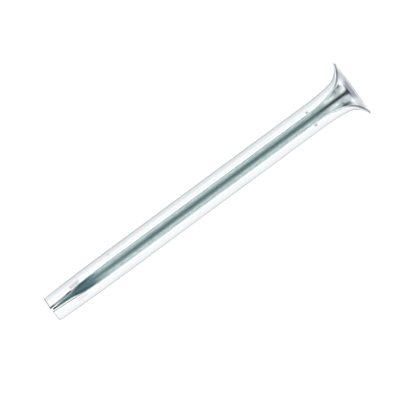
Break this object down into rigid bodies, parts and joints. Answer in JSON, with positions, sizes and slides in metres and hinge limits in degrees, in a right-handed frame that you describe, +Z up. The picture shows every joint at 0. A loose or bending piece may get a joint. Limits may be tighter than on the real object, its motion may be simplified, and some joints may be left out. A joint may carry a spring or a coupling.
{
  "type": "hammer drive anchor",
  "caption": "Slotted steel sleeve anchor, a rolled tube with an open seam, a pinched tip and a flared, horned head, hammered into a drilled hole",
  "frame": {"origin": "middle of the bounding box at its underside, with the sleeve lying on its rim and its tip", "axes": "+X along the sleeve toward the flared head, +Y to the left of it, +Z up, with the seam on top"},
  "size_m": [0.1004, 0.0168, 0.0118],
  "materials": {
    "zinc_plate": "bright zinc plate with a faint blue tint, drawn along its length"
  },
  "bodies": {
    "root": {"anchor_sleeve": "zinc_plate"}
  },
  "joints": []
}
